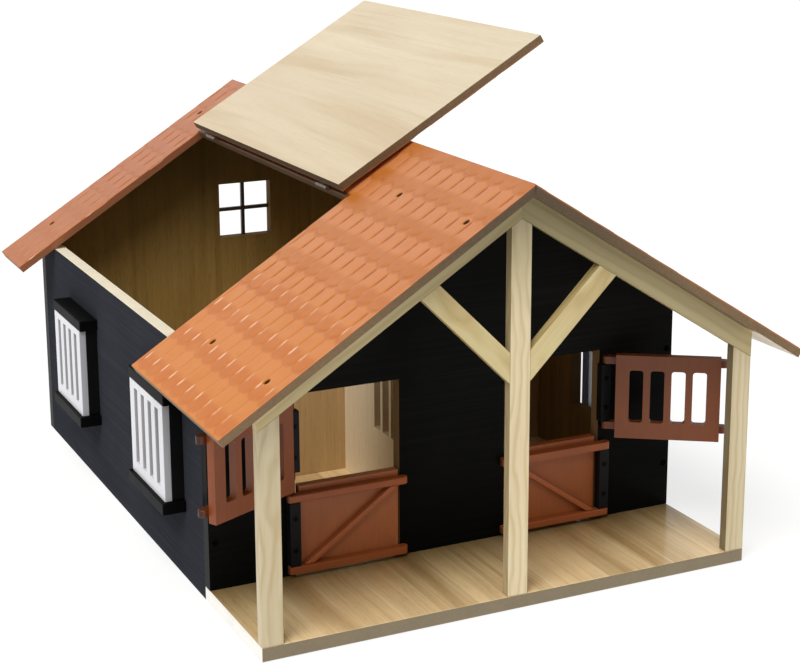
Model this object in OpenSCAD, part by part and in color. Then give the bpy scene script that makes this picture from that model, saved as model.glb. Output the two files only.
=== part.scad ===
// Toy barn with opening doors: a wooden play stable with a two-bay porch,
// split stable doors, barred side windows and a roof hatch.
// Origin: middle of the overall box, on the ground. Front (porch) faces -Y.

/* [House] */
// Width over the two side walls
body_w = 344; // [336:2:352]
// Depth of the porch, from the floor edge to the front wall
porch_d = 90.5; // [88:0.5:94]
// Depth of the house over both gable walls
house_d = 391; // [386:1:400]
// Thickness of the wall and floor boards
board_t = 9; // [8.5:0.5:9.5]
// Height of the side walls above the ground
side_h = 158.5; // [157:0.5:159]
// Height of the two inner walls above the ground
inner_h = 120; // [115:1:128]

/* [Roof] */
// Height of the ridge above the ground
ridge_z = 275; // [274:0.5:277]
// Slope of the roof in degrees
roof_a = 32.3; // [32.1:0.1:32.5]
// Length of one slope, ridge to eave
slope_l = 238.3; // [234:0.1:240]
// Thickness of the roof boards
roof_t = 6; // [5.5:0.5:6.5]
// Overhang of the roof in front of the porch
over_f = 15.5; // [12:0.5:18]
// Overhang of the roof behind the house
over_r = 15; // [12:0.5:18]
// Distance from the ridge to the hatch hinge line, down the slope
hatch_s = 61.2; // [58:0.2:64]
// Front edge of the hatch bay, from the floor edge
hatch_f = 145; // [140:1:150]
// Rear edge of the hatch bay, from the floor edge
hatch_r = 438; // [434:1:442]
// Opening angle shown for the roof hatch
hatch_open = 181.4; // [180:0.1:182]

/* [Doors] */
// Inner edge of each doorway, from the middle of the front wall
door_in = 39; // [38:0.5:40]
// Outer edge of each doorway, from the middle of the front wall
door_out = 113; // [113:0.5:114]
// Top of the doorways above the ground
door_top = 131; // [131:0.5:133]
// Hinge axis of the doors, from the middle of the front wall
hinge_x = 117; // [116.8:0.1:117.2]
// Opening angle shown for the left upper door
left_open = 154; // [0:1:175]
// Opening angle shown for the right upper door
right_open = 146; // [0:1:175]

/* [Porch timber] */
// Width of the posts, rafters and struts
timber_w = 14; // [12:1:15]
// Thickness of the posts, rafters and struts
timber_t = 7; // [6:0.5:8]

/* [Windows] */
// Width of a barred window panel
win_w = 69.4; // [68:0.2:70]
// Height of a barred window panel
win_h = 65.5; // [64:0.5:67]
// Underside of the left window panels above the ground
win_z_left = 55.5; // [50:0.5:58]
// Underside of the right window panels above the ground
win_z_right = 37.5; // [36:0.5:58]
// Width and height of the gable window
gable_win = 45.5; // [42:0.5:48]

/* [Hidden] */
$fn = 48;

half_w = body_w / 2;
floor_d = porch_d + house_d;
mid_y = (floor_d + over_r - over_f) / 2;
wall_in = porch_d + board_t;             // inside face of the front wall
rear_in = floor_d - board_t;             // inside face of the rear wall
under_z = ridge_z - roof_t / cos(roof_a); // underside of the roof at the ridge
cross_y = 258;                           // front face of the cross wall

// hatch hinge, in roof coordinates (down the slope, along the house, above the roof)
leaf_t = 0.8;
axis_h = 1.8;
knuckle_r = 1.5;
flap_gap = 1.2;
side_gap = 1.5;
hinge_ys = [181, 402];
hinge_len = 18;

// doors
axis_y = porch_d - 3.3;
rail_t = 6;
panel_t = 6;
panel_in = 6.5;
panel_out = 77;
rail_out = 82;
pin_r = 0.8;
bore_r = 0.85;
lower_z = [12, 69.5];
lower_rails = [12, 60.6];
lower_rail_h = 5;
upper_z = [71.5, 130.4];
upper_rails = [75.6, 122.2];
upper_rail_h = 5;
slot_w = 9.4;
slot_p = 14.2;
batten_gap = 0.4;

// windows: the front edge of each panel, from the floor edge
left_ys = [134.5, 327.8];
right_ys = [152.8, 346.1];
win_margin = 12.2;
win_off = 8.5;
win_t = 5;
strip_w = 6;

// screws
screw_r = 1.4;
hole_r = 1.45;
head_r = 2.3;
roof_screw_s = [42.8, 194];
roof_screw_y = [timber_t / 2, porch_d + board_t / 2, floor_d - board_t / 2];
wall_screw_z = [40.6, 125];
batten_screw_f = [0.25, 0.76];

pine = [0.83, 0.76, 0.58];
oak = [0.66, 0.52, 0.33];
dark = [0.16, 0.16, 0.18];
black = [0.06, 0.06, 0.06];
tile = [0.85, 0.55, 0.37];
doorc = [0.53, 0.29, 0.18];
white = [0.93, 0.93, 0.94];
steel = [0.72, 0.72, 0.70];

// ---- frames ------------------------------------------------------------
module house() translate([0, -mid_y, 0]) children();
// roof coordinates: x down the slope from the ridge, y along the house, z out of the roof
module right_slope() translate([0, 0, ridge_z]) rotate([0, roof_a, 0]) children();
module left_slope() mirror([1, 0, 0]) right_slope() children();
module box(x0, x1, y0, y1, z0, z1) translate([x0, y0, z0]) cube([x1 - x0, y1 - y0, z1 - z0]);
module along_y(y0, y1) translate([0, y1, 0]) rotate([90, 0, 0]) linear_extrude(y1 - y0) children();
// door coordinates: x from the hinge axis to the latch, y into the house, z up
module left_door(a) translate([-hinge_x, axis_y, 0]) rotate([0, 0, -a]) children();
module right_door(a) mirror([1, 0, 0]) left_door(a) children();

// ---- screws ------------------------------------------------------------
// head at z = -1, shank pointing down -z
module screw(len, r, hr) {
  difference() {
    union() {
      translate([0, 0, -2.2]) cylinder(r = hr, h = 1.2);
      translate([0, 0, -len]) cylinder(r = r, h = len - 2.2);
    }
    translate([-hr * 0.62, -0.35, -1.7]) cube([hr * 1.24, 0.7, 1]);
    translate([-0.35, -hr * 0.62, -1.7]) cube([0.7, hr * 1.24, 1]);
  }
}
module screw_hole(len, r, hr) {
  translate([0, 0, -2.2]) cylinder(r = hr + 0.05, h = 3);
  translate([0, 0, -len - 0.2]) cylinder(r = r + 0.05, h = len);
}
module roof_screw_places() {
  for (s = roof_screw_s, y = roof_screw_y) {
    right_slope() translate([s, y, 0]) children();
    left_slope() translate([s, y, 0]) children();
  }
}
module wall_screw_places() {
  for (x = [-1, 1], z = wall_screw_z) {
    translate([x * (half_w - board_t / 2), porch_d, z]) rotate([90, 0, 0]) children();
    translate([x * (half_w - board_t / 2), floor_d, z]) rotate([-90, 0, 0]) children();
  }
}
function batten_span(zs, rh) = [zs[0] + rh + batten_gap, zs[1] - batten_gap];
module batten_screw_places() {
  for (m = [0, 1]) mirror([m, 0, 0])
    for (sp = [batten_span(lower_rails, lower_rail_h), batten_span(upper_rails, upper_rail_h)], f = batten_screw_f)
      translate([-115.3, porch_d - 6, sp[0] + f * (sp[1] - sp[0])]) rotate([90, 0, 0]) translate([0, 0, 1.1]) children();
}

// ---- walls and floor ---------------------------------------------------
module gable_outline(z0) {
  zw = under_z - half_w * tan(roof_a);
  polygon([[-half_w, z0], [half_w, z0], [half_w, zw], [0, under_z], [-half_w, zw]]);
}
module floor_board() color(oak) house() union() {
  box(-half_w, half_w, 0, wall_in, 0, board_t);
  box(-half_w + board_t, half_w - board_t, wall_in, rear_in, 0, board_t);
}
module front_wall() color(dark) house() difference() {
  along_y(porch_d, wall_in) gable_outline(board_t);
  for (m = [0, 1]) mirror([m, 0, 0])
    box(-door_out, -door_in, porch_d - 1, wall_in + 1, board_t - 1, door_top);
  roof_screw_places() screw_hole(18, screw_r, head_r);
  wall_screw_places() screw_hole(22, screw_r, head_r);
  batten_screw_places() screw_hole(13, 1.1, 2);
}
module rear_wall() color(dark) house() difference() {
  along_y(rear_in, floor_d) gable_outline(0);
  box(-gable_win / 2, gable_win / 2, rear_in - 1, floor_d + 1, 145.5, 145.5 + gable_win);
  roof_screw_places() screw_hole(18, screw_r, head_r);
  wall_screw_places() screw_hole(22, screw_r, head_r);
}
module gable_window_cross() color(dark) house() {
  h = gable_win / 2;
  zc = 145.5 + h;
  union() {
    box(-h, h, floor_d - 4, floor_d - 1, zc - 1.5, zc + 1.5);
    box(-1.5, 1.5, floor_d - 4, floor_d - 1, zc - h, zc + h);
  }
}
// side wall on the -X side with its two window holes
module side_wall(ys, zw) house() difference() {
  box(-half_w, -half_w + board_t, wall_in, rear_in, 0, side_h);
  for (y = ys)
    box(-half_w - 1, -half_w + board_t + 1, y + win_margin, y + win_w - win_margin, zw + win_margin, zw + win_h - 4);
  wall_screw_places() screw_hole(22, screw_r, head_r);
}
module left_wall() color(dark) side_wall(left_ys, win_z_left);
module right_wall() color(dark) mirror([1, 0, 0]) side_wall(right_ys, win_z_right);
module centre_partition() color(pine) house() difference() {
  box(-board_t / 2, board_t / 2, wall_in, cross_y, board_t, inner_h);
  for (k = [0 : 5])
    box(-board_t, board_t, 194.6 - 14.1 * k, 205 - 14.1 * k, 58, inner_h - 12);
}
module cross_wall() color(pine) house()
  box(-half_w + board_t, half_w - board_t, cross_y, cross_y + board_t, board_t, inner_h);

// ---- roof --------------------------------------------------------------
module roof_section() polygon([[0, 0], [slope_l, 0], [slope_l, -roof_t], [roof_t * tan(roof_a), -roof_t]]);
module roof_holes() for (s = roof_screw_s, y = roof_screw_y) translate([s, y, 0]) screw_hole(18, screw_r, head_r);
module leaf_screw_places(sx) for (y = hinge_ys, d = [-5.4, 5.4]) translate([hatch_s + sx * 8.6, y + d, 0]) children();
module roof_left_board() color(tile) house() left_slope() difference() {
  along_y(-over_f, floor_d + over_r) roof_section();
  box(hatch_s - flap_gap, slope_l + 1, hatch_f, hatch_r, -roof_t - 1, 1);
  roof_holes();
  leaf_screw_places(-1) translate([0, 0, -4.4]) cylinder(r = 0.75, h = 5);
}
module roof_right_board() color(tile) house() right_slope() difference() {
  along_y(-over_f, floor_d + over_r) roof_section();
  roof_holes();
}
// turns a closed-position shape of the flap over the ridge about its hinge line
module flap_open() translate([hatch_s, 0, axis_h]) rotate([0, -hatch_open, 0]) translate([-hatch_s, 0, -axis_h]) children();
module roof_flap() color(tile) house() left_slope() flap_open() difference() {
  box(hatch_s + flap_gap, slope_l, hatch_f + side_gap, hatch_r - side_gap, -roof_t, 0);
  leaf_screw_places(1) translate([0, 0, -4.4]) cylinder(r = 0.75, h = 5);
}

// ---- hatch hinges ------------------------------------------------------
// one leaf set on the +x side of the hinge line; odd knuckles or even knuckles
module leaf(y, keep, bore) {
  n = 3;
  seg = (hinge_len - 0.6) / n;
  difference() {
    union() {
      box(2.1, 13, y - hinge_len / 2, y + hinge_len / 2, 0, leaf_t);
      for (k = keep) {
        y0 = y - hinge_len / 2 + k * (seg + 0.3);
        translate([0, y0, axis_h]) rotate([-90, 0, 0]) cylinder(r = knuckle_r, h = seg);
        box(0.6, 2.2, y0, y0 + seg, 0.32, leaf_t);
      }
    }
    translate([0, y - hinge_len, axis_h]) rotate([-90, 0, 0]) cylinder(r = bore, h = 2 * hinge_len);
    for (d = [-5.4, 5.4]) translate([8.6, y + d, -1]) cylinder(r = 0.8, h = 3);
    for (d = [-5.4, 5.4]) translate([8.6, y + d, leaf_t - 0.4]) cylinder(r = 1.55, h = 1);
  }
}
module leaf_screw() {
  union() {
    translate([0, 0, leaf_t - 0.4]) cylinder(r = 1.5, h = 0.4);
    translate([0, 0, -4]) cylinder(r = 0.7, h = 4 + leaf_t - 0.3);
  }
}
module flap_hinge_fixed_leaves() color(steel) house() left_slope()
  for (y = hinge_ys) translate([hatch_s, 0, 0]) mirror([1, 0, 0]) leaf(y, [0, 2], 0.6);
module flap_hinge_moving_leaves() color(steel) house() left_slope() flap_open()
  for (y = hinge_ys) translate([hatch_s, 0, 0]) leaf(y, [1], 0.65);
module flap_hinge_pins() color(steel) house() left_slope()
  for (y = hinge_ys) translate([hatch_s, y - hinge_len / 2, axis_h]) rotate([-90, 0, 0]) cylinder(r = 0.6, h = hinge_len);
module flap_hinge_fixed_screws() color(steel) house() left_slope() leaf_screw_places(-1) leaf_screw();
module flap_hinge_moving_screws() color(steel) house() left_slope() flap_open() leaf_screw_places(1) leaf_screw();

// ---- porch timber ------------------------------------------------------
raf_v = timber_w / cos(roof_a);   // upright depth of a rafter
module post_left() house() intersection() {
  box(-half_w, -half_w + timber_w, 0, timber_t, board_t, ridge_z);
  along_y(-1, timber_t + 1) polygon([[-half_w - 1, 0], [0, 0], [0, under_z - raf_v],
    [-half_w - 1, under_z - raf_v - (half_w + 1) * tan(roof_a)]]);
}
module rafter_left() house() difference() {
  along_y(0, timber_t) polygon([[0, under_z], [0, under_z - raf_v],
    [-half_w, under_z - raf_v - half_w * tan(roof_a)], [-half_w, under_z - half_w * tan(roof_a)]]);
  roof_screw_places() screw_hole(18, screw_r, head_r);
}
module left_post() color(pine) post_left();
module right_post() color(pine) mirror([1, 0, 0]) post_left();
module left_rafter() color(pine) rafter_left();
module right_rafter() color(pine) mirror([1, 0, 0]) rafter_left();
module king_post() color(pine) house() along_y(0, timber_t) polygon([[-timber_w / 2, board_t], [timber_w / 2, board_t],
    [timber_w / 2, under_z - raf_v - timber_w / 2 * tan(roof_a)], [0, under_z - raf_v],
    [-timber_w / 2, under_z - raf_v - timber_w / 2 * tan(roof_a)]]);
strut_z = 148.5;                  // underside of a strut where it meets the king post
strut_v = timber_w * sqrt(2);     // upright depth of a strut
t = tan(roof_a);
k1 = (under_z - raf_v - strut_z + timber_w / 2) / (1 + t);
k2 = (under_z - raf_v - strut_z - strut_v + timber_w / 2) / (1 + t);
module strut_left() house() along_y(0, timber_t) polygon([
  [-timber_w / 2, strut_z], [-k1, under_z - raf_v - k1 * t],
  [-k2, under_z - raf_v - k2 * t], [-timber_w / 2, strut_z + strut_v]]);
module left_strut() color(pine) strut_left();
module right_strut() color(pine) mirror([1, 0, 0]) strut_left();

// ---- side windows (made on the -X side) --------------------------------
module grille(y, z) house() difference() {
  box(-half_w - win_off - win_t, -half_w - win_off, y, y + win_w, z, z + win_h);
  for (k = [0 : 3])
    box(-half_w - win_off - win_t - 1, -half_w - win_off + 1,
        y + win_w / 2 + (k - 1.5) * 14.7 - 3.5, y + win_w / 2 + (k - 1.5) * 14.7 + 3.5, z + 8, z + win_h - 5);
}
module lintel(y, z) house()
  box(-half_w - win_off - win_t, -half_w, y - 2.4, y + win_w + 2.4, z + win_h, z + win_h + 8);
module sill(y, z) house()
  box(-half_w - win_off - win_t - 2.5, -half_w, y - 2.4, y + win_w + 2.4, z - 8, z);
// an upright strip on the porch side of each window holds the panel off the wall
module strips(ys, z) house() for (y = ys)
  box(-half_w - win_off, -half_w, y + 0.6, y + 0.6 + strip_w, z, z + win_h);
module left_window_strips() color(black) strips(left_ys, win_z_left);
module right_window_strips() color(black) mirror([1, 0, 0]) strips(right_ys, win_z_right);
module left_front_grille() color(white) grille(left_ys[0], win_z_left);
module left_rear_grille() color(white) grille(left_ys[1], win_z_left);
module right_front_grille() color(white) mirror([1, 0, 0]) grille(right_ys[0], win_z_right);
module right_rear_grille() color(white) mirror([1, 0, 0]) grille(right_ys[1], win_z_right);
module left_front_lintel() color(black) lintel(left_ys[0], win_z_left);
module left_rear_lintel() color(black) lintel(left_ys[1], win_z_left);
module right_front_lintel() color(black) mirror([1, 0, 0]) lintel(right_ys[0], win_z_right);
module right_rear_lintel() color(black) mirror([1, 0, 0]) lintel(right_ys[1], win_z_right);
module left_front_sill() color(black) sill(left_ys[0], win_z_left);
module left_rear_sill() color(black) sill(left_ys[1], win_z_left);
module right_front_sill() color(black) mirror([1, 0, 0]) sill(right_ys[0], win_z_right);
module right_rear_sill() color(black) mirror([1, 0, 0]) sill(right_ys[1], win_z_right);

// ---- doors (in door coordinates) ---------------------------------------
module door_rail(z, h) difference() {
  union() {
    box(0, rail_out - rail_t / 2, -rail_t / 2, rail_t / 2, z, z + h);
    for (x = [0, rail_out - rail_t / 2]) translate([x, 0, z]) cylinder(r = rail_t / 2, h = h);
  }
  translate([0, 0, z - 1]) cylinder(r = bore_r, h = h + 2);
}
module lower_panel() box(panel_in, panel_out, rail_t / 2, rail_t / 2 + panel_t, lower_z[0], lower_z[1]);
module rounded_slot(x, z0, z1, r) {
  y0 = rail_t / 2 - 1;
  d = panel_t + 2;
  translate([0, y0 + d, 0]) rotate([90, 0, 0]) linear_extrude(d) union() {
    translate([x + r, z0]) square([slot_w - 2 * r, z1 - z0]);
    translate([x, z0 + r]) square([slot_w, z1 - z0 - 2 * r]);
    for (i = [r, slot_w - r], j = [z0 + r, z1 - r]) translate([x + i, j]) circle(r = r);
  }
}
module upper_panel() difference() {
  box(panel_in, panel_out, rail_t / 2, rail_t / 2 + panel_t, upper_z[0], upper_z[1]);
  for (k = [0 : 3])
    rounded_slot((panel_in + panel_out - slot_w) / 2 + (k - 1.5) * slot_p, 83, 120, 2);
}
brace_w = 3.6;
module lower_brace() {
  z0 = lower_rails[0] + lower_rail_h;
  z1 = lower_rails[1];
  bx = 8;
  ex = panel_out - 0.5;
  run = ex - bx;
  up = z1 - z0;
  w = brace_w * sqrt(run * run + up * up) / up;
  intersection() {
    along_y(-rail_t / 2 + 1, rail_t / 2) polygon([[bx, z0], [bx + w, z0], [ex, z1], [ex - w, z1]]);
    box(bx, ex, -10, 10, z0, z1);
  }
}
module left_lower_door() color(doorc) house() left_door(0) lower_panel();
module left_lower_top_rail() color(doorc) house() left_door(0) door_rail(lower_rails[1], lower_rail_h);
module left_lower_bottom_rail() color(doorc) house() left_door(0) door_rail(lower_rails[0], lower_rail_h);
module left_lower_brace() color(doorc) house() left_door(0) lower_brace();
module right_lower_door() color(doorc) house() right_door(0) lower_panel();
module right_lower_top_rail() color(doorc) house() right_door(0) door_rail(lower_rails[1], lower_rail_h);
module right_lower_bottom_rail() color(doorc) house() right_door(0) door_rail(lower_rails[0], lower_rail_h);
module right_lower_brace() color(doorc) house() right_door(0) lower_brace();
module left_upper_door() color(doorc) house() left_door(left_open) upper_panel();
module left_upper_top_rail() color(doorc) house() left_door(left_open) door_rail(upper_rails[1], upper_rail_h);
module left_upper_bottom_rail() color(doorc) house() left_door(left_open) door_rail(upper_rails[0], upper_rail_h);
module right_upper_door() color(doorc) house() right_door(right_open) upper_panel();
module right_upper_top_rail() color(doorc) house() right_door(right_open) door_rail(upper_rails[1], upper_rail_h);
module right_upper_bottom_rail() color(doorc) house() right_door(right_open) door_rail(upper_rails[0], upper_rail_h);

// ---- hinge battens and pins --------------------------------------------
module batten(sp) house() difference() {
  box(-119, -111.6, porch_d - 6, porch_d, sp[0], sp[1]);
  translate([-hinge_x, axis_y, sp[0] - 1]) cylinder(r = pin_r, h = 9);
  translate([-hinge_x, axis_y, sp[1] - 8]) cylinder(r = pin_r, h = 9);
  batten_screw_places() screw_hole(13, 1.1, 2);
}
module left_lower_batten() color(black) batten(batten_span(lower_rails, lower_rail_h));
module left_upper_batten() color(black) batten(batten_span(upper_rails, upper_rail_h));
module right_lower_batten() color(black) mirror([1, 0, 0]) batten(batten_span(lower_rails, lower_rail_h));
module right_upper_batten() color(black) mirror([1, 0, 0]) batten(batten_span(upper_rails, upper_rail_h));
module pins_for(zs, rh) {
  sp = batten_span(zs, rh);
  translate([0, 0, zs[0] + 0.5]) cylinder(r = pin_r, h = sp[0] + 8 - zs[0] - 0.5);
  translate([0, 0, sp[1] - 8]) cylinder(r = pin_r, h = zs[1] + rh - 0.5 - sp[1] + 8);
}
module door_hinge_pins() color(steel) house()
  for (m = [0, 1]) mirror([m, 0, 0]) translate([-hinge_x, axis_y, 0]) {
    pins_for(lower_rails, lower_rail_h);
    pins_for(upper_rails, upper_rail_h);
  }
module batten_screws() color(black) house() batten_screw_places() screw(13, 1.1, 2);
module roof_screws() color(steel) house() roof_screw_places() screw(18, screw_r, head_r);
module wall_screws() color(black) house() wall_screw_places() screw(22, screw_r, head_r);

floor_board();
front_wall();
rear_wall();
left_wall();
right_wall();
centre_partition();
cross_wall();
roof_left_board();
roof_right_board();
roof_flap();
flap_hinge_fixed_leaves();
flap_hinge_moving_leaves();
flap_hinge_pins();
flap_hinge_fixed_screws();
flap_hinge_moving_screws();
left_post();
right_post();
king_post();
left_rafter();
right_rafter();
left_strut();
right_strut();
left_front_grille();
left_rear_grille();
right_front_grille();
right_rear_grille();
left_front_lintel();
left_rear_lintel();
right_front_lintel();
right_rear_lintel();
left_front_sill();
left_rear_sill();
right_front_sill();
right_rear_sill();
left_window_strips();
right_window_strips();
gable_window_cross();
left_lower_door();
left_lower_top_rail();
left_lower_bottom_rail();
left_lower_brace();
right_lower_door();
right_lower_top_rail();
right_lower_bottom_rail();
right_lower_brace();
left_upper_door();
left_upper_top_rail();
left_upper_bottom_rail();
right_upper_door();
right_upper_top_rail();
right_upper_bottom_rail();
left_lower_batten();
left_upper_batten();
right_lower_batten();
right_upper_batten();
door_hinge_pins();
batten_screws();
roof_screws();
wall_screws();
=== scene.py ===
import math

import bpy
import bmesh
import numpy as np
from mathutils import Matrix, Vector


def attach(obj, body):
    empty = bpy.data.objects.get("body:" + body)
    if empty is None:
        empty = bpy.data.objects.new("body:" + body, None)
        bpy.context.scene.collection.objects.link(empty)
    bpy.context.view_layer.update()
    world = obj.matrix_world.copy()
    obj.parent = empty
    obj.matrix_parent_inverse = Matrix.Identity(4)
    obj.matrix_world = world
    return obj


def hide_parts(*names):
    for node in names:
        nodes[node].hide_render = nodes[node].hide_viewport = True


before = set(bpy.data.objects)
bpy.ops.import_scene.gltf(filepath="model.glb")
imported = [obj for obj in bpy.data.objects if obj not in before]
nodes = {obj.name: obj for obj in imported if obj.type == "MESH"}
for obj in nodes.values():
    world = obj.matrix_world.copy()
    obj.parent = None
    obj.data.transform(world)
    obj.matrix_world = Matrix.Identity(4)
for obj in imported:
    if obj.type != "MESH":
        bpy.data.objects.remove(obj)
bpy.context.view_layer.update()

MM = 0.001
MID = 240.5                     # row frame Y = distance behind the porch edge - MID
RA = math.radians(32.3)
CA, SA = math.cos(RA), math.sin(RA)
RIDGE, SLOPE, THICK = 275.0, 238.3, 6.0
Y0, Y1 = -15.5, 496.5           # roof, along the house
BAY = (60.0, 145.0, 438.0)      # hatch bay: upper edge, front edge, rear edge
OPEN = math.radians(181.4)


# ---- colours and node graphs ----------------------------------------------
def lin(c):
    c /= 255.0
    return c / 12.92 if c <= 0.04045 else ((c + 0.055) / 1.055) ** 2.4


def rgb(r, g, b):
    return (lin(r), lin(g), lin(b), 1.0)


class Graph:
    """A material being built, with a Principled shader at its end."""

    def __init__(self, name):
        self.mat = bpy.data.materials.new(name)
        self.mat.use_nodes = True
        self.t = self.mat.node_tree
        self.t.nodes.clear()
        out = self.t.nodes.new("ShaderNodeOutputMaterial")
        self.b = self.t.nodes.new("ShaderNodeBsdfPrincipled")
        self.t.links.new(self.b.outputs[0], out.inputs[0])
        tc = self.t.nodes.new("ShaderNodeTexCoord")
        self.pos, self.nrm = tc.outputs["Object"], tc.outputs["Normal"]

    def put(self, sock, v):
        if isinstance(v, bpy.types.NodeSocket):
            self.t.links.new(v, sock)
        else:
            sock.default_value = v

    def math(self, op, a, b=0.0, c=None, clamp=False):
        n = self.t.nodes.new("ShaderNodeMath")
        n.operation = op
        n.use_clamp = clamp
        self.put(n.inputs[0], a)
        self.put(n.inputs[1], b)
        if c is not None:
            self.put(n.inputs[2], c)
        return n.outputs[0]

    def mul(self, a, b):
        return self.math("MULTIPLY", a, b)

    def add(self, a, b):
        return self.math("ADD", a, b)

    def madd(self, a, b, c):
        return self.math("MULTIPLY_ADD", a, b, c)

    def dot(self, v, d):
        n = self.t.nodes.new("ShaderNodeVectorMath")
        n.operation = "DOT_PRODUCT"
        self.put(n.inputs[0], v)
        n.inputs[1].default_value = d
        return n.outputs["Value"]

    def length(self, v):
        n = self.t.nodes.new("ShaderNodeVectorMath")
        n.operation = "LENGTH"
        self.put(n.inputs[0], v)
        return n.outputs["Value"]

    def vec(self, x, y, z=0.0):
        n = self.t.nodes.new("ShaderNodeCombineXYZ")
        for s, v in zip(n.inputs, (x, y, z)):
            self.put(s, v)
        return n.outputs[0]

    def split(self, v):
        n = self.t.nodes.new("ShaderNodeSeparateXYZ")
        self.put(n.inputs[0], v)
        return n.outputs[0], n.outputs[1], n.outputs[2]

    def attribute(self, name):
        n = self.t.nodes.new("ShaderNodeAttribute")
        n.attribute_name = name
        return n.outputs["Vector"]

    def noise(self, v, scale=1.0, detail=2.0, rough=0.5, distort=0.0):
        n = self.t.nodes.new("ShaderNodeTexNoise")
        self.put(n.inputs["Vector"], v)
        n.inputs["Scale"].default_value = scale
        n.inputs["Detail"].default_value = detail
        n.inputs["Roughness"].default_value = rough
        n.inputs["Distortion"].default_value = distort
        return n.outputs["Fac"]

    def cell(self, v):
        n = self.t.nodes.new("ShaderNodeTexWhiteNoise")
        n.noise_dimensions = "1D"
        self.put(n.inputs["W"], v)
        return n.outputs["Value"]

    def remap(self, v, a, b, c=0.0, d=1.0, kind="SMOOTHSTEP"):
        n = self.t.nodes.new("ShaderNodeMapRange")
        n.interpolation_type = kind
        n.clamp = True
        self.put(n.inputs["Value"], v)
        n.inputs["From Min"].default_value = a
        n.inputs["From Max"].default_value = b
        n.inputs["To Min"].default_value = c
        n.inputs["To Max"].default_value = d
        return n.outputs["Result"]

    def ramp(self, f, stops, kind="LINEAR"):
        n = self.t.nodes.new("ShaderNodeValToRGB")
        n.color_ramp.interpolation = kind
        e = n.color_ramp.elements
        while len(e) < len(stops):
            e.new(0.5)
        for x, (p, c) in zip(e, stops):
            x.position = p
            x.color = c if isinstance(c, tuple) else (c, c, c, 1.0)
        self.put(n.inputs[0], f)
        return n.outputs["Color"]

    def mix(self, f, a, b, blend="MIX"):
        n = self.t.nodes.new("ShaderNodeMix")
        n.data_type = "RGBA"
        n.blend_type = blend
        n.clamp_factor = True
        self.put(n.inputs[0], f)
        self.put(n.inputs[6], a)
        self.put(n.inputs[7], b)
        return n.outputs[2]

    def bump(self, height, strength, distance, normal=None):
        n = self.t.nodes.new("ShaderNodeBump")
        n.inputs["Strength"].default_value = strength
        n.inputs["Distance"].default_value = distance
        self.put(n.inputs["Height"], height)
        if normal is not None:
            self.put(n.inputs["Normal"], normal)
        return n.outputs[0]

    def done(self, colour, rough, normal=None, coat=0.0, coat_rough=0.2, spec=0.5, metal=0.0):
        self.put(self.b.inputs["Base Color"], colour)
        self.put(self.b.inputs["Roughness"], rough)
        self.b.inputs["Specular IOR Level"].default_value = spec
        self.b.inputs["Coat Weight"].default_value = coat
        self.b.inputs["Coat Roughness"].default_value = coat_rough
        self.b.inputs["Metallic"].default_value = metal
        if normal is not None:
            self.put(self.b.inputs["Normal"], normal)
        return self.mat


X, Y, Z = (1, 0, 0), (0, 1, 0), (0, 0, 1)


def solid_wood(g, along, across, depth, light, dark, seed, pitch=0.0052, warp=0.024, centre=(0.03, 0.02), depth_of=0.42, pos=None):
    """Sawn timber: growth rings cut by the faces, fibres along the grain. Returns (colour, height)."""
    pos = g.pos if pos is None else pos
    L, U, V = g.dot(pos, along), g.dot(pos, across), g.dot(pos, depth)
    slow = g.noise(g.vec(g.madd(L, 12.0, seed * 3.7), g.madd(U, 26.0, seed), g.mul(V, 26.0)), 1.0, 2.5, 0.5)
    r = g.length(g.vec(g.add(U, -centre[0]), g.add(V, -centre[1])))
    ring = g.math("FRACT", g.math("DIVIDE", g.madd(slow, warp, r), pitch))
    late = g.ramp(ring, [(0.0, 0.45), (0.16, 0.05), (0.5, 0.22), (0.86, 0.95), (1.0, 0.45)], "EASE")
    fibre = g.noise(g.vec(g.madd(L, 34.0, seed), g.mul(U, 1500.0), g.mul(V, 1500.0)), 1.0, 3.0, 0.6)
    streak = g.noise(g.vec(g.madd(L, 4.0, seed * 1.3), g.mul(U, 190.0), g.mul(V, 190.0)), 1.0, 2.0, 0.5)
    patch = g.noise(g.vec(g.madd(L, 9.0, seed * 2.1), g.mul(U, 25.0), g.mul(V, 25.0)), 1.0, 2.0, 0.5)
    tone = g.madd(late, depth_of * 0.55, g.madd(streak, 0.55, g.madd(fibre, 0.3, g.madd(patch, 0.35, -0.48))))
    mid = tuple((a + b) / 2 for a, b in zip(light, dark))
    colour = g.ramp(tone, [(0.0, light), (0.45, mid), (1.0, dark)])
    height = g.madd(fibre, -0.6, g.mul(late, -0.4))
    return colour, height


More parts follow.
